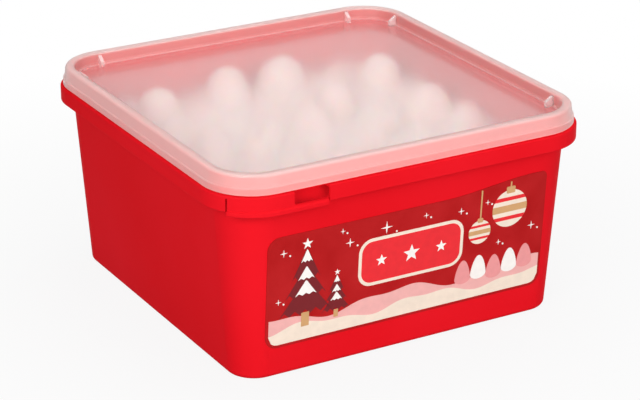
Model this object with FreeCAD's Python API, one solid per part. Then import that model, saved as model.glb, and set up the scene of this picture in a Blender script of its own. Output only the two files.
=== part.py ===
import FreeCAD, Part
import math
import os
import random

from FreeCAD import Vector

# A square tub of foam candy, with a frosted push-on lid and a label on its front.
# Millimetres. +Z is up, the front with the label faces -Y, and the origin is the
# middle of the face that the tub stands on.
#
# Every ring of the tub and of the lid is one rounded square at another offset. Four
# upright corner axes stand at the corners of a core square, and "reach" is the
# distance outward from that square. A cross-section is drawn once in (reach, height)
# and carried all the way round by around().

# ------------------------------------------------------------------ driving sizes
# Tub
collar_side = 195.0        # across the outside of the collar
corner_radius = 26.0       # the collar's outer corner
flange_height = 93.6       # top face of the flange above the ground
draft_angle = 4.1          # lean of the walls, in degrees
wall = 1.3
floor = 1.5
foot_depth = 1.6           # hollow under the floor, inside the foot
foot_width = 3.0           # flat ring that the tub stands on
base_edge_radius = 2.6     # outer edge between wall and foot
floor_edge_radius = 4.0    # inner edge between wall and floor

# Flange, collar and neck
flange_width = 5.6         # from the wall's outer face out to the collar's
flange_thickness = 1.2
collar_wall = 1.2
collar_drop = 7.6          # flange top down to the collar's lower edge
neck_setback = 4.8         # from the collar's outer face in to the neck's
neck_wall = 1.2
neck_height = 8.0          # the neck that the lid snaps over, above the flange
bead_rise = 0.8            # the neck's bead stands out by this
bead_height = 2.4

# Tear tab at the front left corner, with its finger notch
tab_corner_angle = 54.0    # how far round the corner the tab runs, in degrees
tab_run = 24.4             # and along the front, from the corner axis
tab_slit = 0.9
tab_lip_drop = 1.7         # the tab's lip hangs below the collar's edge
tab_lip_rise = 1.0         # and overlaps the collar by this
tab_lip_proud = 0.7
notch_width = 17.4
notch_height = 6.2         # flange top down to the notch's lower edge
notch_depth = 3.6          # how far it cuts in from the collar's face

# Lid
lid_wall = 1.0
lid_inset = 1.3            # from the collar's outer face in to the lid's edge
seat_gap = 0.3             # lid's edge above the flange, and neck's top below the lid
snap_fit = 0.25            # sideways play between the neck and the lid's channel
snap_hook = 0.2            # how far the lid's snap reaches under the bead
lip_height = 3.1           # the thicker band along the lid's lower edge
lip_proud = 0.4
rim_outer_radius = 1.3     # outer edge of the lid's raised rim
recess_depth = 5.8         # rim's top down to the panel's margin
margin_width = 6.0         # sloping margin round the panel
panel_step = 0.6           # the panel lies this far below its margin
panel_thickness = 0.9
lug_width = 1.8            # ribs beside each corner of the recess, for stacking
lug_drop = 1.0             # their top lies this far below the rim's
lug_slope = 2.4            # height of the slanted lead-in at their free edge
lug_flat = 1.2             # level part of their top, next to the recess wall
stacking_play = 0.6        # free play between the ribs and the foot of a tub on top

# Label on the front wall
label_half_width = 74.0
label_bottom = 15.0
label_top = 70.4           # top edge along the middle and the left
label_shoulder = 4.0       # how much higher the edge is at the right end
shoulder_start = 26.0
shoulder_end = 60.0
shoulder_radius = 150.0
label_corner = 6.0
label_thickness = 0.25
label_gap = 0.05

# Foam candies
candy_length = 36.0
candy_base_radius = 12.4
candy_waist_height = 15.0
candy_shoulder_radius = 9.4
candy_tip_round = 8.8
candy_base_edge = 4.0
candy_flat = 7.8           # the flat back lies this far behind the axis
candy_contact = 22.0       # candies touch where their axes are this far apart
headroom = 5.6             # free height between the highest tip and the lid's panel
side_room = 0.5            # between the candies and the tub's walls and floor
bed_drop = 32.0            # the packed bed below the tips ends this far down
settle_rounds = 60         # how often the candies that overlap are moved apart

# Candies that stand upright with their tips under the lid, as (x, y)
standing_tips = [(24.0, 74.0), (-8.0, 73.0), (68.0, 50.0), (29.0, 29.0), (66.0, 3.0), (-52.0, 63.0)]
standing_tilt = 7.0        # degrees from upright, at most

# Two layers of lying candies. Each has the most that its candies end below the tips,
# first in the front part and then in the back part, which keeps hollows between the tips.
layer_drops = [(9.0, 21.0), (28.0, 36.0)]
layer_pitch = 22.0
layer_jitter = 3.0
lying_tilt = 70.0          # degrees from upright, at most
back_starts = 22.0         # where the back part begins

# ------------------------------------------------------------------ derived sizes
core_half = collar_side / 2 - corner_radius
wall_slope = math.tan(math.radians(draft_angle))
wall_side = wall / math.cos(math.radians(draft_angle))
floor_top = foot_depth + floor

collar_inner = corner_radius - collar_wall
collar_bottom = flange_height - collar_drop
flange_under = flange_height - flange_thickness
neck_outer = corner_radius - neck_setback
neck_inner = neck_outer - neck_wall
neck_top = flange_height + neck_height
bead_reach = neck_outer + bead_rise
bead_bottom = neck_top - bead_height

lid_edge = flange_height + seat_gap
lid_top = neck_top + seat_gap + lid_wall
lid_reach = corner_radius - lid_inset
skirt_top_reach = bead_reach + snap_fit + lid_wall
plug_outer = neck_inner - snap_fit
plug_inner = plug_outer - lid_wall
margin_top = lid_top - recess_depth
panel_top = margin_top - panel_step
panel_under = panel_top - panel_thickness
lug_top = lid_top - lug_drop
lug_low = margin_top - 0.8      # the ribs start inside the margin's thickness
lug_root = plug_inner + 0.4     # and inside the recess wall


def wall_reach(height):
    """Reach of the wall's outer face at a height above the ground."""
    return corner_radius - flange_width - (flange_height - height) * wall_slope


heap_top = panel_under - headroom
room_half = core_half + wall_reach(heap_top - candy_length / 2) - wall_side - side_room
layer_rows = round(2 * room_half / layer_pitch)


def toward(start, end, distance):
    """The point at a distance from start, on the way to end."""
    step = (end - start).normalize()
    return start + step * distance


def outline(corners):
    """A closed face in the XZ plane from (x, z, radius) corners; a radius rounds one."""
    points = [Vector(x, 0, z) for x, z, radius in corners]
    count = len(points)
    edges = []
    joints = []
    for index in range(count):
        before = points[index - 1]
        here = points[index]
        after = points[(index + 1) % count]
        radius = corners[index][2]
        if radius == 0:
            joints.append((here, here))
            continue
        inner_angle = (before - here).getAngle(after - here)
        setback = radius / math.tan(inner_angle / 2)
        start = toward(here, before, setback)
        end = toward(here, after, setback)
        middle_way = (start + end) * 0.5
        centre = toward(here, middle_way, radius / math.sin(inner_angle / 2))
        middle = toward(centre, here, radius)
        edges.append(Part.Arc(start, middle, end).toShape())
        joints.append((start, end))
    for index in range(count):
        leave = joints[index][1]
        arrive = joints[(index + 1) % count][0]
        if leave.distanceToPoint(arrive) > 1e-6:
            edges.append(Part.LineSegment(leave, arrive).toShape())
    return Part.Face(Part.Wire(Part.__sortEdges__(edges)))


def corner_sweep(section, start_angle, angle, across, along):
    """A section carried round the corner axis at (across, along) from a start angle."""
    piece = section.copy()
    piece.rotate(Vector(0, 0, 0), Vector(0, 0, 1), start_angle)
    piece.translate(Vector(across, along, 0))
    return piece.revolve(Vector(across, along, 0), Vector(0, 0, 1), angle)


def around(section):
    """A section carried all the way round the core square, as one solid."""
    pieces = []
    for quarter in range(4):
        side = section.copy()
        side.translate(Vector(core_half, -core_half, 0))
        side = side.extrude(Vector(0, 2 * core_half, 0))
        corner = corner_sweep(section, 0, 90, core_half, core_half)
        for piece in (side, corner):
            piece.rotate(Vector(0, 0, 0), Vector(0, 0, 1), 90 * quarter)
            pieces.append(piece)
    return pieces[0].multiFuse(pieces[1:]).removeSplitter()


def slab(bottom, top):
    """The core square between two heights, which closes a floor or a panel."""
    size = 2 * core_half
    return Part.makeBox(size, size, top - bottom, Vector(-core_half, -core_half, bottom))


def one_solid(shape):
    """The single solid of a finished shape."""
    return shape.removeSplitter().Solids[0]


# ------------------------------------------------------------------ tub
def tub_section():
    """Foot, wall, flange, collar and neck, from the core square outward."""
    foot_inner = wall_reach(0) - base_edge_radius - foot_width
    inner_top = wall_reach(flange_height) - wall_side
    inner_bottom = wall_reach(floor_top) - wall_side
    return outline([
        (0, foot_depth, 0),
        (foot_inner - foot_depth, foot_depth, 0.5),
        (foot_inner, 0, 0),
        (wall_reach(0), 0, base_edge_radius),
        (wall_reach(flange_under), flange_under, 0.8),
        (collar_inner, flange_under, 0.8),
        (collar_inner, collar_bottom, 0.4),
        (corner_radius, collar_bottom, 0.5),
        (corner_radius, flange_height, 0.7),
        (neck_outer, flange_height, 0.3),
        (neck_outer, bead_bottom, 0.2),
        (bead_reach, bead_bottom + 0.6, 0.5),
        (bead_reach, neck_top, 0.7),
        (neck_inner, neck_top, 0.4),
        (neck_inner, flange_height, 0),
        (inner_top, flange_height - 1.0, 0),
        (inner_bottom, floor_top, floor_edge_radius),
        (0, floor_top, 0),
    ])


def tab_lip():
    """The thicker lip along the tear tab's lower edge, round the corner and along."""
    section = outline([
        (collar_inner, collar_bottom - tab_lip_drop, 0.4),
        (corner_radius + tab_lip_proud, collar_bottom - tab_lip_drop, 0.6),
        (corner_radius + tab_lip_proud, collar_bottom + tab_lip_rise * 0.3, 0.4),
        (corner_radius - 0.2, collar_bottom + tab_lip_rise, 0),
        (collar_inner, collar_bottom + tab_lip_rise, 0),
    ])
    bend = corner_sweep(section, 270 - tab_corner_angle, tab_corner_angle, -core_half, -core_half)
    run = section.copy()
    run.rotate(Vector(0, 0, 0), Vector(0, 0, 1), 270)
    run.translate(Vector(-core_half, -core_half, 0))
    run = run.extrude(Vector(tab_run, 0, 0))
    return bend.fuse(run)


def tab_cuts():
    """The slits at both ends of the tab, and the finger notch beside the right one."""
    lowest = collar_bottom - tab_lip_drop - 1
    slit_height = flange_under - lowest
    slit_length = collar_wall + tab_lip_proud + 1.0
    slit = Part.makeBox(slit_length, tab_slit, slit_height)
    slit.translate(Vector(collar_inner - 0.4, -tab_slit / 2, lowest))
    corner_slit = slit.copy()
    corner_slit.rotate(Vector(0, 0, 0), Vector(0, 0, 1), 270 - tab_corner_angle)
    corner_slit.translate(Vector(-core_half, -core_half, 0))
    front_slit = slit.copy()
    front_slit.rotate(Vector(0, 0, 0), Vector(0, 0, 1), 270)
    front_slit.translate(Vector(-core_half + tab_run, -core_half, 0))
    notch_right = -core_half + tab_run
    notch = outline([
        (notch_right - notch_width, flange_height - notch_height, 1.4),
        (notch_right, flange_height - notch_height, 1.4),
        (notch_right, flange_height + 0.1, 0),
        (notch_right - notch_width, flange_height + 0.1, 0),
    ])
    notch.translate(Vector(0, -core_half - corner_radius + notch_depth, 0))
    notch = notch.extrude(Vector(0, -notch_depth - tab_lip_proud - 1, 0))
    return corner_slit, front_slit, notch


def make_tub():
    shell = around(tub_section()).fuse(slab(foot_depth, floor_top)).fuse(tab_lip())
    for cut in tab_cuts():
        shell = shell.cut(cut)
    return one_solid(shell)


# ------------------------------------------------------------------ lid
def lid_section():
    """Skirt with its snap, raised rim, recess wall and the panel's margin."""
    skirt_lean = (lid_reach - lip_proud - skirt_top_reach) / (lid_top - lid_edge)
    lip_top = lid_edge + lip_height

    def skirt(height):
        return lid_reach - lip_proud - (height - lid_edge) * skirt_lean

    snap_top = bead_bottom - seat_gap
    return outline([
        (0, panel_under, 0),
        (plug_inner - margin_width, panel_under, 0),
        (plug_outer - 0.6, margin_top - panel_thickness, 1.0),
        (plug_outer, lid_top - lid_wall, 0.5),
        (skirt_top_reach - lid_wall, lid_top - lid_wall, 0.5),
        (skirt(snap_top + 0.3) - lid_wall, snap_top + 0.3, 0),
        (bead_reach - snap_hook, snap_top, 0.15),
        (bead_reach - snap_hook, snap_top - 0.6, 0.15),
        (skirt(snap_top - 1.6) - lid_wall, snap_top - 1.6, 0),
        (skirt(lid_edge) - lid_wall, lid_edge, 0.3),
        (lid_reach, lid_edge, 0.4),
        (lid_reach - 0.15, lip_top, 0.3),
        (skirt(lip_top + 0.4), lip_top + 0.4, 0.2),
        (skirt_top_reach, lid_top, rim_outer_radius),
        (plug_inner, lid_top, 0.9),
        (plug_inner - 0.3, margin_top, 1.4),
        (plug_inner - margin_width, panel_top, 0.8),
        (0, panel_top, 0),
    ])


def stacking_lugs():
    """Two ribs beside each corner of the recess, which centre a tub stacked on the lid."""
    free_edge = wall_reach(0) + stacking_play
    section = outline([
        (lug_root, lug_low, 0),
        (lug_root, lug_top, 0),
        (plug_inner - lug_flat, lug_top, 0.8),
        (free_edge, lug_top - lug_slope, 0.6),
        (free_edge, lug_low, 0),
    ])
    lugs = []
    for start in (-core_half, core_half - lug_width):
        lug = section.copy()
        lug.translate(Vector(core_half, start, 0))
        lug = lug.extrude(Vector(0, lug_width, 0))
        for quarter in range(4):
            turned = lug.copy()
            turned.rotate(Vector(0, 0, 0), Vector(0, 0, 1), 90 * quarter)
            lugs.append(turned)
    return lugs


def make_lid():
    shell = around(lid_section()).fuse(slab(panel_under, panel_top))
    return one_solid(shell.multiFuse(stacking_lugs()))


# ------------------------------------------------------------------ label
def label_face():
    """The label's outline as seen from the front, with its raised right shoulder."""
    left = -label_half_width
    right = label_half_width
    shoulder_top = label_top + label_shoulder
    return outline([
        (left, label_bottom, label_corner),
        (right, label_bottom, label_corner),
        (right, shoulder_top, label_corner / 2),
        (shoulder_end, shoulder_top, shoulder_radius),
        (shoulder_start, label_top, shoulder_radius),
        (left, label_top, label_corner),
    ])


def make_label():
    """The label's outline cut from a thin skin that lies all round on the walls."""
    low = label_bottom - 5
    high = label_top + label_shoulder + 5
    skin = around(outline([
        (wall_reach(low) + label_gap, low, 0),
        (wall_reach(low) + label_gap + label_thickness, low, 0),
        (wall_reach(high) + label_gap + label_thickness, high, 0),
        (wall_reach(high) + label_gap, high, 0),
    ]))
    front = label_face().extrude(Vector(0, -collar_side, 0))
    return one_solid(skin.common(front))


# ------------------------------------------------------------------ foam candies
def make_candy():
    """One foam candy, a rounded cone with a flat back, standing on the origin."""
    half = outline([
        (0, 0, 0),
        (candy_base_radius, 0, candy_base_edge),
        (candy_base_radius, candy_waist_height, 0),
        (candy_shoulder_radius, candy_length, candy_tip_round),
        (0, candy_length, 0),
    ])
    cone = half.revolve(Vector(0, 0, 0), Vector(0, 0, 1), 360)
    size = 2 * candy_base_radius
    keep = Part.makeBox(size, size, candy_length, Vector(-candy_base_radius, -candy_flat, 0))
    return cone.common(keep)


def axis_of(tilt, heading):
    """Unit vector from a candy's base to its tip, leaning by tilt towards heading."""
    tilt = math.radians(tilt)
    heading = math.radians(heading)
    level = math.sin(tilt)
    return Vector(level * math.cos(heading), level * math.sin(heading), math.cos(tilt))


def extent(axis, direction):
    """How far a candy reaches along a direction, from the middle of its axis."""
    lean = axis.dot(direction)
    tip = lean * (candy_length / 2 - candy_tip_round) + candy_tip_round
    base = candy_base_radius * math.sqrt(max(0, 1 - lean * lean)) - lean * candy_length / 2
    return max(tip, base)


def inside(place, axis, direction):
    """A coordinate along a direction, moved in until the candy clears both walls."""
    limit = room_half - extent(axis, direction)
    other = room_half - extent(axis, direction * -1)
    return max(-other, min(limit, place))


def first_candies():
    """Unsettled candies, each [middle, axis, roll, highest middle], standing ones first."""
    draw = random.Random(12)
    spots = []
    for x, y in standing_tips:
        spots.append((x, y, draw.uniform(0, 2), draw.uniform(0, standing_tilt)))
    half = (layer_rows - 1) / 2
    for front_drop, back_drop in layer_drops:
        for index in range(layer_rows ** 2):
            x = (index % layer_rows - half) * layer_pitch + draw.uniform(-layer_jitter, layer_jitter)
            y = (index // layer_rows - half) * layer_pitch + draw.uniform(-layer_jitter, layer_jitter)
            deepest = back_drop if y > back_starts else front_drop
            drop = deepest * draw.uniform(0.4, 1)
            tilt = draw.uniform(standing_tilt, lying_tilt)
            nearest = min(math.hypot(x - sx, y - sy) for sx, sy in standing_tips)
            if nearest > candy_base_radius:
                spots.append((x, y, drop, tilt))
    candies = []
    for x, y, drop, tilt in spots:
        axis = axis_of(tilt, draw.uniform(0, 360))
        most = heap_top - drop - extent(axis, Vector(0, 0, 1))
        middle = Vector(inside(x, axis, Vector(1, 0, 0)), inside(y, axis, Vector(0, 1, 0)), most)
        candies.append([middle, axis, draw.uniform(0, 360), most])
    return candies


def along_axis(distance):
    """A distance from the middle of a candy, kept to the part of its axis between its ends."""
    most = (candy_length - candy_contact) / 2
    return max(-most, min(most, distance))


def way_between(one, other):
    """The shortest way from the axis of one candy to the axis of another."""
    apart = one[0] - other[0]
    turn = one[1].dot(other[1])
    ahead = apart.dot(one[1])
    behind = apart.dot(other[1])
    on_one = along_axis((turn * behind - ahead) / max(1e-6, 1 - turn * turn))
    on_other = along_axis(turn * on_one + behind)
    on_one = along_axis(turn * on_other - ahead)
    return other[0] + other[1] * on_other - one[0] - one[1] * on_one


def settled_candies():
    """The candies, moved apart until they only touch, within the walls and the heap's top."""
    candies = first_candies()
    standing = len(standing_tips)
    for step in range(settle_rounds):
        for index, one in enumerate(candies):
            share = 0 if index < standing else 0.5
            for other in candies[index + 1:]:
                way = way_between(one, other)
                overlap = candy_contact - way.Length
                if overlap > 0:
                    push = way * (overlap / way.Length)
                    one[0] = one[0] - push * share
                    other[0] = other[0] + push * (1 - share)
        for candy in candies[standing:]:
            middle, axis, roll, most = candy
            x = inside(middle.x, axis, Vector(1, 0, 0))
            y = inside(middle.y, axis, Vector(0, 1, 0))
            candy[0] = Vector(x, y, min(middle.z, most))
    return candies


def placed_candy(candy, place):
    """A candy with its middle and axis at the place, turned by the roll about its axis."""
    middle, axis, roll, most = place
    piece = candy.copy()
    piece.translate(Vector(0, 0, -candy_length / 2))
    piece.rotate(Vector(0, 0, 0), Vector(0, 0, 1), roll)
    piece.rotate(Vector(0, 0, 0), Vector(0, 0, 1).cross(axis), math.degrees(math.acos(axis.z)))
    piece.translate(middle)
    return piece


def make_heap():
    """The candies as one heap: a packed bed with the top layer's pieces on it."""
    bed_top = heap_top - bed_drop
    inner_bottom = wall_reach(floor_top) - wall_side - side_room
    inner_top = wall_reach(flange_height) - wall_side - side_room
    room = around(outline([
        (0, floor_top + side_room, 0),
        (inner_bottom, floor_top + side_room, floor_edge_radius),
        (inner_top, flange_height, 0),
        (0, flange_height, 0),
    ])).fuse(slab(floor_top + side_room, flange_height))
    size = collar_side
    bed = Part.makeBox(size, size, bed_top, Vector(-size / 2, -size / 2, 0))
    candy = make_candy()
    up = Vector(0, 0, 1)
    shown = [place for place in settled_candies() if place[0].z + extent(place[1], up) > bed_top]
    pieces = [placed_candy(candy, place) for place in shown]
    return one_solid(bed.multiFuse(pieces).common(room))


# ------------------------------------------------------------------ files
def main():
    os.makedirs("parts", exist_ok=True)
    makers = {"tub": make_tub, "lid": make_lid, "label": make_label, "foam_candies": make_heap}
    for name, maker in makers.items():
        shape = maker()
        shape.exportStep("parts/" + name + ".step")
        box = shape.BoundBox
        print(name, shape.ShapeType, "valid", shape.isValid(), "volume", round(shape.Volume, 1))
        print("   from", round(box.XMin, 2), round(box.YMin, 2), round(box.ZMin, 2), end=" ")
        print("to", round(box.XMax, 2), round(box.YMax, 2), round(box.ZMax, 2))


main()
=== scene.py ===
# %% [markdown]
# # A tub of foam candy
#
# A square tub of red plastic, closed by a frosted lid, with a printed label on its front
# and soft foam candies inside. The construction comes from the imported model, which is
# loaded first and never moved. What is added here is what the eye is after: the finish of
# the plastics, the print on the label and the candies that show dimly through the lid.

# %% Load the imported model
import math
import random

import bmesh
import bpy
from mathutils import Matrix, Vector


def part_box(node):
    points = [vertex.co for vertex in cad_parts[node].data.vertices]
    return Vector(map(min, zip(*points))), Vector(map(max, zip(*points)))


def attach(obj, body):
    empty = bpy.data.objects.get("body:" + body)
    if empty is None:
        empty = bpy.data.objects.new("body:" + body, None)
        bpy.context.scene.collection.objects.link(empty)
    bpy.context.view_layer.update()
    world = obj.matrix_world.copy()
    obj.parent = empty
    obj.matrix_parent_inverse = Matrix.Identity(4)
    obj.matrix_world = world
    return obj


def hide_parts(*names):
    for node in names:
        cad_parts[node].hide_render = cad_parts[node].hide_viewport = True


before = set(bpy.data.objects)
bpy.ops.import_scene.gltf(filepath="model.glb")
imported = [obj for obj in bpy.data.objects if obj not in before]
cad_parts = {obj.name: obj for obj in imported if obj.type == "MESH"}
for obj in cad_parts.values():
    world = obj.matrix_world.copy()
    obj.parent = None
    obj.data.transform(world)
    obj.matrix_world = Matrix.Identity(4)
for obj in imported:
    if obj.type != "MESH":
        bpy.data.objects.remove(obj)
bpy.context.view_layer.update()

mm = 0.001

# %% [markdown]
# Some sizes of the construction are needed again and again: the lean and thickness of the
# walls, the heights of the lid and the heap, and the core square, at whose corners the
# round corners have their axes. The boxes of the nodes give what they can. The values
# written out here are the same as in the construction.

# %% Sizes that the pieces share
tub_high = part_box("tub")[1]
lid_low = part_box("lid")[0]
label_low, label_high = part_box("label")
heap_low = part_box("foam_candies")[0]

corner_radius = 26.0 * mm
flange_width = 5.6 * mm
seat_gap = 0.3 * mm                        # the lid's edge lies this far above the flange
wall = 1.3 * mm
draft = 4.1                                # degrees that the walls lean outward
wall_slope = math.tan(math.radians(draft))
wall_side = wall * math.sqrt(1 + wall_slope ** 2)    # the wall's thickness, measured level
flange_height = lid_low.z - seat_gap
core_half = tub_high.x - corner_radius


def wall_reach(height):
    """How far the wall's outer face stands outside the core square at a height."""
    return corner_radius - flange_width - (flange_height - height) * wall_slope


print("core square", round(core_half / mm, 1), "mm from the middle to its side")

# %% [markdown]
# Pieces are modelled as by hand. A primitive is added, some of its faces or edges are
# selected by where they lie, and an operator shapes them. An operator acts on whatever is
# selected, and loading leaves the nodes selected, so these helpers clear the selection
# before they do anything else.

# %% Helpers for modelling
def only(piece):
    """Make one piece the active one and the only one selected."""
    bpy.ops.object.select_all(action="DESELECT")
    piece.select_set(True)
    bpy.context.view_layer.objects.active = piece
    return piece


def add(primitive, name, **how):
    """Add a primitive of bpy.ops.mesh and name it."""
    bpy.ops.object.select_all(action="DESELECT")
    getattr(bpy.ops.mesh, "primitive_" + primitive + "_add")(**how)
    piece = bpy.context.active_object
    piece.name = name
    piece.data.name = name
    return piece


def select(piece, kind, test):
    """Go into edit mode with just the vertices, edges or faces that pass the test selected."""
    only(piece)
    bpy.ops.object.mode_set(mode="EDIT")
    bpy.ops.mesh.select_mode(type=kind)
    bpy.ops.mesh.select_all(action="DESELECT")
    mesh = bmesh.from_edit_mesh(piece.data)
    found = {"VERT": mesh.verts, "EDGE": mesh.edges, "FACE": mesh.faces}[kind]
    mesh.normal_update()
    for part in found:
        if test(part):
            part.select_set(True)
    mesh.select_flush_mode()
    bmesh.update_edit_mesh(piece.data)


def leave():
    """Go back to object mode."""
    bpy.ops.object.mode_set(mode="OBJECT")


def modify(piece, kind, **values):
    """Add a modifier, set its values and apply it."""
    only(piece)
    modifier = piece.modifiers.new(kind.title(), kind)
    for key, value in values.items():
        setattr(modifier, key, value)
    bpy.ops.object.modifier_apply(modifier=modifier.name)


def settle_origin(piece):
    """Put the piece's place, turn and size into its mesh, with its object at the origin."""
    only(piece)
    bpy.ops.object.transform_apply(location=True, rotation=True, scale=True)


def outward(piece):
    """Merge doubles and turn all faces outward."""
    select(piece, "VERT", lambda vertex: True)
    bpy.ops.mesh.remove_doubles(threshold=1e-7)
    bpy.ops.mesh.normals_make_consistent(inside=False)
    leave()


def join(pieces, name):
    """Join pieces into one mesh."""
    bpy.ops.object.select_all(action="DESELECT")
    for piece in pieces:
        piece.select_set(True)
    bpy.context.view_layer.objects.active = pieces[0]
    bpy.ops.object.join()
    pieces[0].name = name
    pieces[0].data.name = name
    return pieces[0]


# %% [markdown]
# A finish is a small tree of nodes. Most begin the same way: one Principled shader, noise
# on Object coordinates that breaks up the colour and the gloss, and a fine bump. Object
# coordinates are in metres, so a pattern's scale is how many of its waves fit in a metre.

# %% Helpers for finishes
class Finish:
    """A material with a Principled shader, and short ways to add nodes to it."""

    def __init__(self, name):
        self.material = bpy.data.materials.new(name)
        self.material.use_nodes = True
        self.nodes = self.material.node_tree.nodes
        self.links = self.material.node_tree.links
        self.shader = self.nodes["Principled BSDF"]
        self.output = self.nodes["Material Output"]
        self.place = self.node("ShaderNodeTexCoord").outputs["Object"]

    def node(self, kind, **values):
        """A new node, with its settings or the values of its inputs."""
        made = self.nodes.new(kind)
        for key, value in values.items():
            if hasattr(made, key) and key not in made.inputs:
                setattr(made, key, value)
            else:
                made.inputs[key].default_value = value
        return made

    def set(self, **values):
        """Set inputs of the shader, with _ for a space in their names."""
        for key, value in values.items():
            self.shader.inputs[key.replace("_", " ")].default_value = value

    def noise(self, scale, detail):
        """Noise over the piece, as a value around a half."""
        made = self.node("ShaderNodeTexNoise", Scale=scale, Detail=detail)
        self.links.new(self.place, made.inputs["Vector"])
        return made.outputs["Fac"]

    def between(self, value, low, high, start=0.3, end=0.7):
        """The value, spread from low to high as it goes from start to end."""
        made = self.node("ShaderNodeMapRange")
        for key, number in (("From Min", start), ("From Max", end),
                            ("To Min", low), ("To Max", high)):
            made.inputs[key].default_value = number
        self.links.new(value, made.inputs["Value"])
        return made.outputs["Result"]

    def colours(self, value, *stops):
        """A colour ramp over a value, from (position, colour) stops."""
        ramp = self.node("ShaderNodeValToRGB")
        points = ramp.color_ramp.elements
        while len(points) < len(stops):
            points.new(0.5)
        for point, (position, colour) in zip(points, stops):
            point.position = position
            point.color = (*colour, 1)
        self.links.new(value, ramp.inputs["Fac"])
        return ramp.outputs["Color"]

    def bump(self, height, distance, strength):
        """Relief of the surface, as deep as the distance where the height is 1."""
        made = self.node("ShaderNodeBump", Strength=strength, Distance=distance)
        self.links.new(height, made.inputs["Height"])
        self.links.new(made.outputs["Normal"], self.shader.inputs["Normal"])

    def link(self, value, socket):
        """Let a value or colour drive one input of the shader."""
        self.links.new(value, self.shader.inputs[socket])


def dress(piece, finish):
    """Give a piece one finish all over."""
    piece.data.materials.clear()
    piece.data.materials.append(finish.material)


# %% [markdown]
# ## The camera
#
# The tub is seen from above its front left corner, with a long lens that keeps its edges
# nearly parallel. The aim and the distance are fixed points of this view, so they are
# named values. The lens follows from how large the tub stands in a 640 by 400 frame.

# %% Camera
view_turn = math.radians(29.8)
view_height = math.radians(22.4)
view_distance = 1.0
lens_length = 131.1     # millimetres, for a sensor that is 36 wide
sensor_width = 36.0
aim = Vector((-59.7 * mm, -111.1 * mm, lid_low.z))
looking = Vector((math.sin(view_turn) * math.cos(view_height),
                  math.cos(view_turn) * math.cos(view_height),
                  -math.sin(view_height)))
camera_data = bpy.data.cameras.new("camera")
camera_data.sensor_width = sensor_width
camera_data.lens = lens_length
camera_data.clip_start = 0.01
camera = bpy.data.objects.new("camera", camera_data)
camera.location = aim - looking * view_distance
camera.rotation_euler = looking.to_track_quat("-Z", "Y").to_euler()
bpy.context.scene.collection.objects.link(camera)
bpy.context.scene.camera = camera
print("camera at", [round(value, 4) for value in camera.location])

# %% [markdown]
# ## Red plastic
#
# The tub is polypropylene, moulded in red. It is a little shiny, never quite even, and its
# surface has the very fine ripple of the mould. A strong red loses its depth when it is
# painted too light or too glossy, so the base colour has almost no green or blue, and the
# gloss is kept low.

# %% Red plastic
deep_red = (0.73, 0.006, 0.012)
light_red = (0.78, 0.010, 0.019)


def red_plastic():
    finish = Finish("red_plastic")
    cloud = finish.noise(9, 3)
    finish.link(finish.colours(cloud, (0.3, deep_red), (0.7, light_red)), "Base Color")
    finish.link(finish.between(finish.noise(60, 4), 0.32, 0.4), "Roughness")
    finish.bump(finish.noise(1400, 2), 0.00002, 0.35)
    finish.set(IOR=1.02, Coat_Weight=0.03, Coat_Roughness=0.3, Coat_IOR=1.45)
    return finish


dress(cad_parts["tub"], red_plastic())

# %% [markdown]
# ## Frosted lid
#
# The lid is natural polypropylene about a millimetre thick. It is smooth on top, so it
# still mirrors the lamps, but the plastic is milky and spreads what lies behind it. What
# nearly touches it shows, and what lies deeper fades into haze. A rough, transmitting
# shader does this by itself, with a thin smooth coat on top.
#
# The milkiness is a share of plain matt colour in place of the transmission. It isn't the
# same everywhere: the flat panel has little, the rim is thicker and has more, and the ribs
# in the corners are nearly white. The lid's colour is painted red light: a pale pink on the
# panel and a stronger pink on the rim stand in for the light of the red tub under it. So
# masks tell the regions apart, from the distance outside the core square, the height and
# the way a face looks.
#
# Light that is bent by a rough surface would reach the candies only as noise. For shadow
# rays the lid is therefore a tinted Transparent shader. The same holds for diffuse rays,
# or the lamps would be counted twice, once straight through and once as bent light.

# %% Frosted lid
# Shares of plain matt colour. A region's share is added to what a wall has.
wall_milk = 0.02
flat_milk = 0.09
rim_milk = 0.18
skirt_milk = 0.05
rib_milk = 0.4
most_see_through = 0.99

panel_roughness = 0.165
rim_roughness = 0.36
# Painted red light: the pink of these two colours stands in for light from the red tub.
panel_painted_red_light = (1, 0.93, 0.92)
rim_painted_red_light = (1, 0.77, 0.74)
let_through = (0.94, 0.885, 0.88)       # what shadow rays and diffuse rays keep
let_through_rim = (0.98, 0.945, 0.945)

# Where each region begins and where it is in full. The first, third and fourth are
# distances outside the core square, and the others are heights.
rim_reach = (17.8 * mm, 19.0 * mm)
lip_edge = (lid_low.z + 3.1 * mm, lid_low.z + 3.5 * mm)
skirt_reach = (20.0 * mm, 21.5 * mm)
recess_reach = (17.9 * mm, 17.6 * mm)
rib_heights = (97.4 * mm, 97.6 * mm)


def region(finish, value, start, end):
    """A mask: 0 before the start and 1 beyond the end. The end may be the smaller one."""
    return finish.between(value, 0, 1, start, end)


def combine(finish, operation, one, other):
    """Two values, or a value and a number, put together by a Math node."""
    made = finish.node("ShaderNodeMath", operation=operation)
    for socket, value in zip(made.inputs, (one, other)):
        if isinstance(value, (int, float)):
            socket.default_value = value
        else:
            finish.links.new(value, socket)
    return made.outputs["Value"]


def part_of(finish, vector, axis):
    """One coordinate of a vector."""
    split = finish.node("ShaderNodeSeparateXYZ")
    finish.links.new(vector, split.inputs[0])
    return split.outputs[axis]


def reach_from_core(finish):
    """How far a point stands outside the core square, which tells rim from panel."""
    value = finish.place
    for operation, other in (("ABSOLUTE", None), ("SUBTRACT", (core_half, core_half, 1)),
                             ("MAXIMUM", (0, 0, 0)), ("LENGTH", None)):
        step = finish.node("ShaderNodeVectorMath", operation=operation)
        finish.links.new(value, step.inputs[0])
        if other:
            step.inputs[1].default_value = other
        value = step.outputs["Value" if operation == "LENGTH" else "Vector"]
    return value


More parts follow.
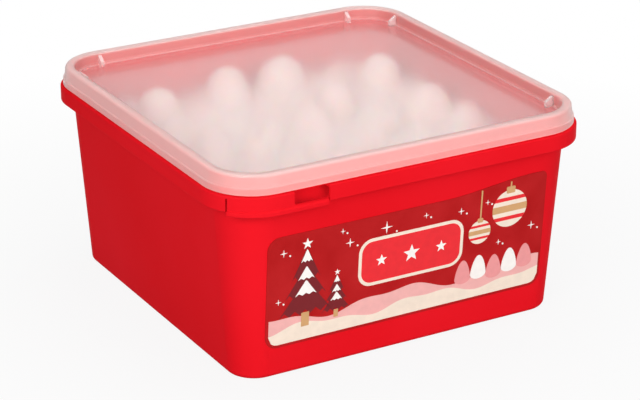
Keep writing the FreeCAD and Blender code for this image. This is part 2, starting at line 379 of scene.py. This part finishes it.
def frosted_plastic():
    finish = Finish("frosted_plastic")
    finish.set(IOR=1.3, Coat_Weight=0.15, Coat_Roughness=0.12, Coat_IOR=1.45)
    finish.bump(finish.noise(900, 2), 0.00001, 0.3)

    height = part_of(finish, finish.place, "Z")
    normal = finish.node("ShaderNodeNewGeometry").outputs["Normal"]
    level = combine(finish, "ABSOLUTE", part_of(finish, normal, "Z"), 0)
    reach = reach_from_core(finish)
    rim = region(finish, reach, *rim_reach)
    above_lip = region(finish, height, *lip_edge)
    skirt = combine(finish, "MULTIPLY", region(finish, reach, *skirt_reach), above_lip)
    in_recess = region(finish, reach, *recess_reach)
    ribs = combine(finish, "MULTIPLY", in_recess, region(finish, height, *rib_heights))

    # Painted red light of the tub: pale pink on the panel, a stronger pink on the rim.
    finish.link(finish.colours(rim, (0.0, panel_painted_red_light), (1.0, rim_painted_red_light)), "Base Color")
    rough = finish.between(rim, panel_roughness, rim_roughness, 0, 1)
    cloud = finish.between(finish.noise(45, 3), 0, 0.02)
    finish.link(combine(finish, "ADD", rough, cloud), "Roughness")
    milk = wall_milk
    for mask, share in ((level, flat_milk), (rim, rim_milk),
                        (skirt, skirt_milk), (ribs, rib_milk)):
        milk = combine(finish, "ADD", combine(finish, "MULTIPLY", mask, share), milk)
    clearness = combine(finish, "SUBTRACT", most_see_through, milk)
    finish.link(clearness, "Transmission Weight")

    path = finish.node("ShaderNodeLightPath")
    clear = finish.node("ShaderNodeBsdfTransparent")
    tint = finish.colours(rim, (0.0, let_through), (1.0, let_through_rim))
    finish.links.new(tint, clear.inputs["Color"])
    shown = finish.shader.outputs["BSDF"]
    for ray in ("Is Diffuse Ray", "Is Shadow Ray"):
        mix = finish.node("ShaderNodeMixShader")
        finish.links.new(path.outputs[ray], mix.inputs["Fac"])
        finish.links.new(shown, mix.inputs[1])
        finish.links.new(clear.outputs["BSDF"], mix.inputs[2])
        shown = mix.outputs["Shader"]
    finish.links.new(shown, finish.output.inputs["Surface"])
    return finish


dress(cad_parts["lid"], frosted_plastic())

# %% [markdown]
# ## Label film
#
# The label is a thin printed film that is moulded onto the wall. Its ground is a deep red,
# darker than the tub and clouded like velvet.

# %% Label film
deep_ground = (0.4, 0.009, 0.01)
light_ground = (0.48, 0.016, 0.018)


def label_film():
    finish = Finish("label_film")
    cloud = finish.noise(55, 4)
    finish.link(finish.colours(cloud, (0.3, deep_ground), (0.7, light_ground)), "Base Color")
    finish.link(finish.between(finish.noise(200, 2), 0.28, 0.34), "Roughness")
    finish.set(IOR=1.03, Coat_Weight=0.08, Coat_Roughness=0.25, Coat_IOR=1.45)
    return finish


dress(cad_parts["label"], label_film())

# %% [markdown]
# ## The print
#
# The label is printed with a winter scene in cream, white, tan and reds: drifts of snow,
# two fir trees, a blank plate with three stars, two hanging baubles, a row of candies and
# some sparkles. Printed ink is far too thin to model, but a picture in a texture would be
# blurred when it is seen close up. So each motif is a thin plate with crisp edges. It is
# drawn flat, with x across the label and y as the height above the ground, and one matrix
# then lays it on the leaning wall. Each ink is one piece, and each is a little thicker
# than the ink before it, so no two of them share a surface where motifs overlap.

# %% Helpers for the print
print_half = 72.6       # millimetres, like all the places on the print
print_low = 16.4
print_corner = 4.6
ink_step = 0.05 * mm    # the thickness of one layer; the inks are 1 to 5 layers thick
sink = 0.02 * mm        # all inks reach this far into the film
ink_cloud = 1.06        # how much lighter an ink is where it is palest
wall_at_ground = label_low.y + wall_slope * label_high.z
onto_label = Matrix(((1, 0, 0, 0),
                     (0, -wall_slope, -1, wall_at_ground),
                     (0, 1, -wall_slope, 0),
                     (0, 0, 0, 1)))


def motif(primitive, place, stretch, **how):
    """A flat primitive on the paper, moved to a place in millimetres and stretched."""
    piece = add(primitive, "motif", **how)
    shift = Matrix.Translation((place[0] * mm, place[1] * mm, 0))
    piece.data.transform(shift @ Matrix.Diagonal((stretch[0] * mm, stretch[1] * mm, 1, 1)))
    return piece


def disc(place, across, sides=40):
    """A round spot, or with few sides a dot."""
    half = across / 2
    return motif("circle", place, (half, half), vertices=sides, radius=1, fill_type="NGON")


def strip(place, size):
    """A rectangle around a place."""
    return motif("plane", place, size, size=1)


def plate(place, size, corner):
    """A rectangle with round corners."""
    piece = strip(place, size)
    select(piece, "VERT", lambda vertex: True)
    bpy.ops.mesh.bevel(offset=corner * mm, segments=8, affect="VERTICES")
    leave()
    return piece


def sparkle(place, across, points=4, waist=0.2):
    """A star: every second corner of a ring is pulled in."""
    piece = disc((0, 0), across, 2 * points)
    for vertex in list(piece.data.vertices)[1::2]:
        vertex.co *= waist
    piece.data.transform(Matrix.Translation((place[0] * mm, place[1] * mm, 0)))
    return piece


def drift(height, waves):
    """A band of snow across the label, its top edge a sum of (size, length, shift) waves."""
    piece = motif("grid", (0, 0), (2 * print_half, 1),
                  x_subdivisions=96, y_subdivisions=1, size=1)
    for vertex in piece.data.vertices:
        across = vertex.co.x / mm
        top = height + sum(size * math.sin(across / length + shift)
                           for size, length, shift in waves)
        into_corner = max(0, abs(across) - (print_half - print_corner))
        round_off = math.sqrt(max(0, print_corner ** 2 - into_corner ** 2))
        low = print_low + print_corner - round_off
        vertex.co.y = (top if vertex.co.y > 0 else low) * mm
    return piece


def tier(place, across, high, tips=5, top_share=0.06, tip_share=0.14):
    """One tier of a fir: a triangle whose lower edge hangs in small tips."""
    x, y = place
    piece = motif("grid", (x, y), (across, high),
                  x_subdivisions=2 * tips, y_subdivisions=1, size=1)
    for vertex in piece.data.vertices:
        if vertex.co.y > y * mm:
            vertex.co.x = x * mm + (vertex.co.x - x * mm) * top_share
        elif round((vertex.co.x / mm - x + across / 2) / across * 2 * tips) % 2:
            vertex.co.y += tip_share * high * mm
    return piece


def band(place, radius, low, high):
    """A stripe across a disc, from low to high above its middle."""
    piece = motif("grid", (0, 0), (2, 1), x_subdivisions=1, y_subdivisions=6, size=1)
    for vertex in piece.data.vertices:
        rise = low + (high - low) * (vertex.co.y / mm + 0.5)
        reach = math.copysign(math.sqrt(radius ** 2 - rise ** 2), vertex.co.x)
        vertex.co = ((place[0] + reach) * mm, (place[1] + rise) * mm, 0)
    return piece


def print_ink(name, colour, motifs, layer):
    """Join motifs, push them out to their layer's thickness and lay them on the label."""
    piece = join(motifs, "print_" + name)
    select(piece, "FACE", lambda face: True)
    bpy.ops.mesh.extrude_region_move(
        TRANSFORM_OT_translate={"value": (0, 0, layer * ink_step + sink)})
    leave()
    piece.data.transform(onto_label @ Matrix.Translation((0, 0, -sink)))
    outward(piece)
    finish = Finish(name + "_ink")
    pale = tuple(min(1.0, value * ink_cloud) for value in colour)
    cloud = finish.noise(260, 3)
    finish.link(finish.colours(cloud, (0.35, colour), (0.65, pale)), "Base Color")
    finish.link(finish.between(finish.noise(200, 2), 0.3, 0.36), "Roughness")
    finish.set(IOR=1.3)
    dress(piece, finish)
    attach(piece, "root")
    print(piece.name, len(piece.data.polygons), "faces")


# %% The print
trees = [(-54.0, 25.0, 1.0), (-38.0, 25.0, 0.55)]     # x, foot and size
tiers = [(4, 27, 17), (13, 21, 15), (22, 14.5, 14.5)]  # rise, width and height at size 1
baubles = [(54.0, 59.0, 9.5, 72.6), (38.0, 50.0, 6.0, 71.2)]  # x, y, radius, cord's top
plate_place = (1.0, 47.5)
plate_sizes = [(56, 24), (52.8, 20.8)]                 # the plate's edge, and its middle
plate_corners = [7, 5.5]
plate_stars = [(-16, 6), (0, 9), (16, 6)]              # place along the plate, and width
treat_width = 8.6
treat_rise = 1.2          # a candy's upper half is drawn out by this share
treat_squash = 0.35       # and its lower half is flattened by this one
treat_taper = 0.05        # how much narrower it grows, for each millimetre up
treats = [(30.0, 27.5), (38.6, 28.5), (47.2, 27.0), (55.8, 28.5), (64.4, 29.0)]
sparkles = [(-13.0, 63.5, 6.0), (27.0, 63.0, 3.4), (-32.0, 60.0, 4.4), (67.0, 47.5, 4.0),
            (41.5, 64.5, 2.6), (-66.0, 62.0, 3.6), (8.0, 65.0, 2.8), (49.0, 42.5, 2.8),
            (-68.0, 38.0, 3.0), (-36.0, 66.5, 2.6)]


def fir(x, foot, size):
    """A trunk, three tiers with snow on them, and a star on top."""
    tan.append(strip((x, foot + 1.5 * size), (4 * size, 7 * size)))
    for step, (rise, across, high) in enumerate(tiers):
        middle = foot + (rise + high / 2) * size
        branches = tier((x, middle), across * size, high * size)
        branches.data.transform(Matrix.Translation((0, 0, 0.2 * step * ink_step)))
        maroon.append(branches)
        snow = (x, middle + 0.29 * high * size)
        white.append(tier(snow, 0.4 * across * size, 0.42 * high * size, 3))
    white.append(sparkle((x, foot + 39.4 * size), 5.5 * size, 5, 0.4))


def bauble(x, y, radius, hang):
    """A striped ball with its cap, on a cord."""
    hook = y + 1.18 * radius
    tan.append(strip((x, (hook + hang) / 2), (0.7, hang - hook)))
    tan.append(plate((x, y + radius), (radius * 0.5, radius * 0.36), 0.6))
    cream.append(disc((x, y), 2 * radius))
    for ink, low, high in ((red, -0.62, -0.42), (tan, -0.18, 0.18), (red, 0.42, 0.62)):
        ink.append(band((x, y), radius, low * radius, high * radius))


def treat(x, y):
    """A candy: a disc that is drawn out to a blunt cone above and flattened below."""
    piece = disc((x, y), treat_width)
    for vertex in piece.data.vertices:
        rise = vertex.co.y / mm - y
        if rise > 0:
            vertex.co.y += rise * treat_rise * mm
            vertex.co.x = x * mm + (vertex.co.x - x * mm) * (1 - treat_taper * rise)
        else:
            vertex.co.y -= rise * treat_squash * mm
    return piece


maroon, cream, white, red, tan, pink, rose = [], [], [], [], [], [], []
pink.append(drift(28.5, [(2.4, 12, 2.0), (1.1, 5, 0.4)]))
cream.append(drift(23.0, [(1.8, 10, 0.6), (0.9, 4.3, 2.4)]))
for x, foot, size in trees:
    fir(x, foot, size)
for ink, size, corner in zip((cream, red), plate_sizes, plate_corners):
    ink.append(plate(plate_place, size, corner))
stars = [sparkle((plate_place[0] + step, plate_place[1]), across, 5, 0.42)
         for step, across in plate_stars]
for x, y, radius, hang in baubles:
    bauble(x, y, radius, hang)
for index, (x, y) in enumerate(treats):
    (white if index % 2 else rose).append(treat(x, y))
for x, y, across in sparkles:
    white.append(sparkle((x, y), across))
    white.append(disc((x + 0.9 * across, y - 0.5 * across), 0.9, sides=12))

print_ink("maroon", (0.17, 0.008, 0.012), maroon, 1)
print_ink("pink", (0.82, 0.42, 0.4), pink, 2)
print_ink("cream", (0.84, 0.72, 0.6), cream, 3)
print_ink("red", (0.76, 0.02, 0.028), red, 4)
print_ink("rose", (0.78, 0.3, 0.3), rose, 4.2)
print_ink("tan", (0.6, 0.34, 0.15), tan, 4.6)
print_ink("white", (0.88, 0.85, 0.81), white + stars, 5)

# %% [markdown]
# ## Foam candies
#
# Each candy is whipped foam poured into a mould of starch: a rounded cone with one flat
# back. One is modelled, as a ring that is extruded up along the cone, and then cut flat.
# The heap is copies of it.

# %% One candy
candy_length = 36.0 * mm
candy_base_radius = 12.4 * mm
candy_waist_height = 12.0 * mm      # here the cone begins
candy_shoulder_radius = 7.6 * mm    # and this is its radius at the tip's height
candy_tip_round = 8.8 * mm
candy_base_edge = 4.0 * mm
candy_flat = 7.8 * mm               # the flat back lies this far behind the axis
candy_back_round = 1.6 * mm
candy_sides = 18
ring_heights = [0.0, 0.04, 0.12, 0.25, 0.42, 0.58, 0.72, 0.82, 0.9, 0.96, 0.99]


def candy_radius(height):
    """The candy's radius at a height: a rounded base, a straight part, a cone and a dome."""
    if height < candy_base_edge:
        rise = candy_base_edge - height
        return candy_base_radius - candy_base_edge + math.sqrt(candy_base_edge ** 2 - rise ** 2)
    if height < candy_waist_height:
        return candy_base_radius
    share = (height - candy_waist_height) / (candy_length - candy_waist_height)
    cone = candy_base_radius + (candy_shoulder_radius - candy_base_radius) * share
    above = height - (candy_length - candy_tip_round)
    if above <= 0:
        return cone
    dome = math.sqrt(max(0.0, candy_tip_round ** 2 - above ** 2))
    return min(cone, dome * cone / candy_tip_round)


def model_candy():
    """One candy with the middle of its axis at the origin and its tip up."""
    heights = [share * candy_length for share in ring_heights]
    candy = add("circle", "candy", vertices=candy_sides, radius=candy_radius(0),
                fill_type="NGON")
    bpy.ops.object.mode_set(mode="EDIT")
    for low, high in zip(heights, heights[1:]):
        bpy.ops.mesh.extrude_region_move(TRANSFORM_OT_translate={"value": (0, 0, high - low)})
        wider = candy_radius(high) / candy_radius(low)
        bpy.ops.transform.resize(value=(wider, wider, 1))
    bpy.ops.mesh.select_all(action="SELECT")
    bpy.ops.mesh.bisect(plane_co=(0, -candy_flat, 0), plane_no=(0, -1, 0), use_fill=True,
                        clear_outer=True)
    leave()
    on_back = candy_flat - 0.01 * mm
    select(candy, "EDGE", lambda edge: all(vertex.co.y < -on_back for vertex in edge.verts))
    bpy.ops.mesh.bevel(offset=candy_back_round, segments=2, affect="EDGES")
    bpy.ops.mesh.select_all(action="SELECT")
    bpy.ops.transform.translate(value=(0, 0, -candy_length / 2))
    leave()
    modify(candy, "SUBSURF", levels=1, render_levels=1)
    outward(candy)
    return candy


candy_model = model_candy()
print("one candy has", len(candy_model.data.polygons), "faces")

# %% [markdown]
# The candies lie as they fell. Six stand upright with their tips just under the lid. The
# others lie in two layers at all angles, first on a rough grid, and are then moved apart
# until they only touch, as in a real heap. The draws of the random numbers and the
# settling are those of the construction, so each candy first lies where it lies there. The
# settling takes every candy a little stouter at the tip than the one modelled above.

# %% Where the candies lie
candy_contact = 22.0 * mm    # candies touch where their axes are this far apart
side_room = 0.5 * mm         # between the candies and the tub's walls
settle_rounds = 60
settle_seed = 12
heap_top = 90.0 * mm
standing_tips = [(24.0, 74.0), (-8.0, 73.0), (68.0, 50.0),
                 (29.0, 29.0), (66.0, 3.0), (-52.0, 63.0)]
standing_tilt = 7.0          # degrees from upright, at most
lying_tilt = 70.0
layer_drops = [(9.0, 21.0), (28.0, 36.0)]    # each layer's in front and at the back
least_drop = 0.4             # a candy's drop is at least this share of its layer's
layer_pitch = 22.0           # millimetres between the places of the rough grid
layer_jitter = 3.0
back_starts = 22.0           # behind this y the layers drop deeper
room_half = core_half + wall_reach(heap_top - candy_length / 2) - wall_side - side_room
layer_rows = round(2 * room_half / mm / layer_pitch)
up = Vector((0, 0, 1))


def axis_of(tilt, heading):
    """Unit vector from a candy's base to its tip, leaning by tilt towards heading."""
    tilt = math.radians(tilt)
    heading = math.radians(heading)
    level = math.sin(tilt)
    return Vector((level * math.cos(heading), level * math.sin(heading), math.cos(tilt)))


def extent(axis, direction):
    """How far a candy reaches along a direction, from the middle of its axis."""
    lean = axis.dot(direction)
    tip = lean * (candy_length / 2 - candy_tip_round) + candy_tip_round
    base = candy_base_radius * math.sqrt(max(0, 1 - lean * lean)) - lean * candy_length / 2
    return max(tip, base)


def inside(place, axis, direction):
    """A coordinate along a direction, moved in until the candy clears both walls."""
    limit = room_half - extent(axis, direction)
    other = room_half - extent(axis, direction * -1)
    return max(-other, min(limit, place))


def first_candies():
    """Unsettled candies, each [middle, axis, roll, highest middle], standing ones first."""
    draw = random.Random(settle_seed)
    spots = []
    for x, y in standing_tips:
        spots.append((x, y, draw.uniform(0, 2), draw.uniform(0, standing_tilt)))
    half = (layer_rows - 1) / 2
    for front_drop, back_drop in layer_drops:
        for index in range(layer_rows ** 2):
            x = (index % layer_rows - half) * layer_pitch
            x += draw.uniform(-layer_jitter, layer_jitter)
            y = (index // layer_rows - half) * layer_pitch
            y += draw.uniform(-layer_jitter, layer_jitter)
            deepest = back_drop if y > back_starts else front_drop
            drop = deepest * draw.uniform(least_drop, 1)
            tilt = draw.uniform(standing_tilt, lying_tilt)
            nearest = min(math.hypot(x - sx, y - sy) for sx, sy in standing_tips)
            if nearest > candy_base_radius / mm:
                spots.append((x, y, drop, tilt))
    candies = []
    for x, y, drop, tilt in spots:
        axis = axis_of(tilt, draw.uniform(0, 360))
        most = heap_top - drop * mm - extent(axis, up)
        middle = Vector((inside(x * mm, axis, Vector((1, 0, 0))),
                         inside(y * mm, axis, Vector((0, 1, 0))), most))
        candies.append([middle, axis, draw.uniform(0, 360), most])
    return candies


def along_axis(distance):
    """A distance from the middle of a candy, kept to the part of its axis between its ends."""
    most = (candy_length - candy_contact) / 2
    return max(-most, min(most, distance))


def way_between(one, other):
    """The shortest way from the axis of one candy to the axis of another."""
    apart = one[0] - other[0]
    turn = one[1].dot(other[1])
    ahead = apart.dot(one[1])
    behind = apart.dot(other[1])
    on_one = along_axis((turn * behind - ahead) / max(1e-6, 1 - turn * turn))
    on_other = along_axis(turn * on_one + behind)
    on_one = along_axis(turn * on_other - ahead)
    return other[0] + other[1] * on_other - one[0] - one[1] * on_one


def settled_candies():
    """The candies, moved apart until they only touch, within the walls and the heap's top."""
    candies = first_candies()
    standing = len(standing_tips)
    for _ in range(settle_rounds):
        for index, one in enumerate(candies):
            share = 0 if index < standing else 0.5
            for other in candies[index + 1:]:
                way = way_between(one, other)
                overlap = candy_contact - way.length
                if overlap > 0:
                    push = way * (overlap / way.length)
                    one[0] = one[0] - push * share
                    other[0] = other[0] + push * (1 - share)
        for candy in candies[standing:]:
            middle, axis, _, most = candy
            x = inside(middle.x, axis, Vector((1, 0, 0)))
            y = inside(middle.y, axis, Vector((0, 1, 0)))
            candy[0] = Vector((x, y, min(middle.z, most)))
    return candies


places = settled_candies()
print(len(places), "candies settled")

# %% [markdown]
# Candies deep in the heap can't be seen, so only those that reach above the core are
# made. Each is a copy with its own mesh, a little larger or smaller than the next, and
# the standing ones are the broadest. The others have sunk a little since they were
# poured. When all are joined, a slow noise dents them, each in its own way because it is
# at another place, and what would press into the wall is flattened against it.
#
# Below them a core fills the tub. Its top is not flat but pushed down by a cell texture,
# which leaves one round bump to a cell, as wide as a candy. So the gaps of the heap show
# more foam and not a floor.

# %% The heap
core_top = 75.0 * mm
core_cuts = 44
bump_depth = 14.0 * mm
bump_width = 0.8 * candy_contact
dent_width = 9 * mm
dent_depth = 1.4 * mm
slump_behind = 4.5 * mm      # how far the candies that don't stand have sunk
slump_in_front = 1.5 * mm
slump_boundary = 12 * mm     # the y that parts the two
size_seed = 5
size_range = (0.94, 1.0)
length_range = (0.97, 1.02)
standing_breadths = [1.3, 1.15, 1.15, 1.0, 1.35, 1.15]


def copy_candy(place, scale):
    """A candy with its own mesh, laid at its place."""
    middle, axis, roll, _ = place
    piece = candy_model.copy()
    piece.data = candy_model.data.copy()
    bpy.context.scene.collection.objects.link(piece)
    turn = up.rotation_difference(axis).to_matrix().to_4x4()
    roll = Matrix.Rotation(math.radians(roll), 4, "Z")
    stretch = Matrix.Diagonal((*scale, 1))
    piece.data.transform(Matrix.Translation(middle) @ turn @ roll @ stretch)
    return piece


def press_inside(piece):
    """Flatten what reaches into the wall: no point further out than the tub's inner face."""
    for vertex in piece.data.vertices:
        place = vertex.co
        x = abs(place.x) - core_half
        y = abs(place.y) - core_half
        reach = math.hypot(max(x, 0), max(y, 0))
        most = wall_reach(place.z) - wall_side - side_room
        if reach > most:
            if x > 0:
                place.x = math.copysign(core_half + x * most / reach, place.x)
            if y > 0:
                place.y = math.copysign(core_half + y * most / reach, place.y)


def make_heap():
    """The candies that reach above the core, joined and dented."""
    sizes = random.Random(size_seed)
    copies = []
    for index, place in enumerate(places):
        scale = sizes.uniform(*size_range)
        stretch = scale * sizes.uniform(*length_range)
        if index < len(standing_tips):
            scale = standing_breadths[index]
        else:
            behind = place[0].y > slump_boundary
            place[0].z -= slump_behind if behind else slump_in_front
        if place[0].z + extent(place[1], up) > core_top:
            copies.append(copy_candy(place, (scale, scale, stretch)))
    heap = join(copies, "foam_pieces")
    dents = bpy.data.textures.new("dents", "CLOUDS")
    dents.noise_scale = dent_width
    modify(heap, "DISPLACE", texture=dents, texture_coords="GLOBAL", strength=dent_depth,
           mid_level=0.55)
    press_inside(heap)
    only(heap)
    bpy.ops.object.shade_smooth()
    triangles = sum(len(face.vertices) - 2 for face in heap.data.polygons)
    print(len(copies), "candies,", triangles, "triangles")
    return heap


def make_core():
    """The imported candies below: a block that fills the tub, its top full of round bumps."""
    side = 2 * (core_half + wall_reach(core_top) - wall_side - side_room)
    core = add("cube", "heap_core", size=1, location=(0, 0, (heap_low.z + core_top) / 2))
    core.scale = (side, side, core_top - heap_low.z)
    settle_origin(core)
    select(core, "FACE", lambda face: True)
    bpy.ops.mesh.subdivide(number_cuts=core_cuts)
    leave()
    bumps = bpy.data.textures.new("bumps", "VORONOI")
    bumps.distance_metric = "DISTANCE_SQUARED"
    bumps.noise_scale = bump_width
    modify(core, "DISPLACE", texture=bumps, texture_coords="GLOBAL", strength=-bump_depth,
           mid_level=0)
    press_inside(core)
    outward(core)
    only(core)
    bpy.ops.object.shade_smooth()
    heights = [vertex.co.z / mm for vertex in core.data.vertices]
    print("core", round(min(heights), 1), "to", round(max(heights), 1), "mm high")
    return core


heap = make_heap()
core = make_core()

# %% [markdown]
# The foam is matt, and light goes some millimetres into it before it comes out again. Its
# surface is very finely porous. Its own colour is white, and its pink tint is painted red
# light, as the red walls of the tub throw it on the foam.

# %% Foam
# Painted red light: the foam's white, tinted pink for the light of the tub's red walls.
deep_foam_painted_red_light = (0.94, 0.82, 0.79)
light_foam_painted_red_light = (0.96, 0.87, 0.84)


def foam():
    finish = Finish("foam")
    cloud = finish.noise(70, 3)
    finish.link(finish.colours(cloud, (0.3, deep_foam_painted_red_light), (0.7, light_foam_painted_red_light)), "Base Color")
    finish.set(Roughness=0.85, IOR=1.4, Subsurface_Weight=0.6, Subsurface_Scale=0.007)
    finish.bump(finish.noise(1500, 3), 0.0002, 0.6)
    return finish


foam_finish = foam()
for piece in (heap, core):
    dress(piece, foam_finish)
    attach(piece, "root")
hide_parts("foam_candies")
bpy.data.objects.remove(candy_model)

# %% [markdown]
# ## Floor, lamps and background
#
# The tub stands on a white sweep in a small studio. The floor is pale and matt, so it
# takes the shadow of the tub, but where the camera, a mirror or glass looks at it, it
# glows by itself and turns white further out. A Light Path node tells these looks from
# the light that falls on matt things, which gets none of the glow. The world does the
# same: white to look at, and only a low daylight as a lamp.
#
# Three large soft lamps do the rest: the key from the front, the fill from the left,
# weaker, so the left side is a deeper red, and one from above for the lid and what is
# under it.

# %% Floor
glow_start = 0.12       # from here to the end the floor's glow rises to full white
glow_end = 0.35
least_glow = 0.9


def seen_rays(tree):
    """1 where the camera, a mirror or glass looks, and 0 for light on matt things."""
    path = tree.nodes.new("ShaderNodeLightPath")
    seen = path.outputs["Is Camera Ray"]
    for ray in ("Is Glossy Ray", "Is Transmission Ray"):
        more = tree.nodes.new("ShaderNodeMath")
        more.operation = "MAXIMUM"
        tree.links.new(seen, more.inputs[0])
        tree.links.new(path.outputs[ray], more.inputs[1])
        seen = more.outputs["Value"]
    return seen


def pale_floor():
    finish = Finish("pale_floor")
    finish.set(Base_Color=(0.5, 0.5, 0.5, 1), Roughness=0.8, Specular_IOR_Level=0.2)
    away = finish.node("ShaderNodeVectorMath", operation="LENGTH")
    finish.links.new(finish.place, away.inputs[0])
    white = finish.between(away.outputs["Value"], least_glow, 1.0, glow_start, glow_end)
    share = combine(finish, "MULTIPLY", white, seen_rays(finish.material.node_tree))
    glow = finish.node("ShaderNodeEmission", Color=(1, 1, 1, 1), Strength=1.0)
    mix = finish.node("ShaderNodeMixShader")
    finish.links.new(share, mix.inputs["Fac"])
    finish.links.new(finish.shader.outputs["BSDF"], mix.inputs[1])
    finish.links.new(glow.outputs["Emission"], mix.inputs[2])
    finish.links.new(mix.outputs["Shader"], finish.output.inputs["Surface"])
    return finish


floor = add("plane", "floor", size=8)
dress(floor, pale_floor())

# %% Lamps and background
lit_point = Vector((0, 0, 0.05))
daylight = 0.3


def lamp(name, place, size, power):
    """A square soft lamp at a place, facing the tub."""
    data = bpy.data.lights.new(name, "AREA")
    data.shape = "SQUARE"
    data.size = size
    data.energy = power
    made = bpy.data.objects.new(name, data)
    made.location = place
    made.rotation_euler = (lit_point - Vector(place)).to_track_quat("-Z", "Y").to_euler()
    bpy.context.scene.collection.objects.link(made)


lamp("key_lamp", (0.12, -1.25, 0.42), 0.9, 8.2)
lamp("fill_lamp", (-0.8, -0.55, 0.5), 0.5, 5.6)
lamp("top_lamp", (0.3, 0.1, 1.4), 1.2, 8.5)

world = bpy.data.worlds.new("studio")
bpy.context.scene.world = world
world.use_nodes = True
backdrop = world.node_tree.nodes["Background"]
backdrop.inputs["Color"].default_value = (1, 1, 1, 1)
brightness = world.node_tree.nodes.new("ShaderNodeMapRange")
brightness.inputs["To Min"].default_value = daylight
world.node_tree.links.new(seen_rays(world.node_tree), brightness.inputs["Value"])
world.node_tree.links.new(brightness.outputs["Result"], backdrop.inputs["Strength"])
bpy.context.scene.view_settings.view_transform = "Standard"
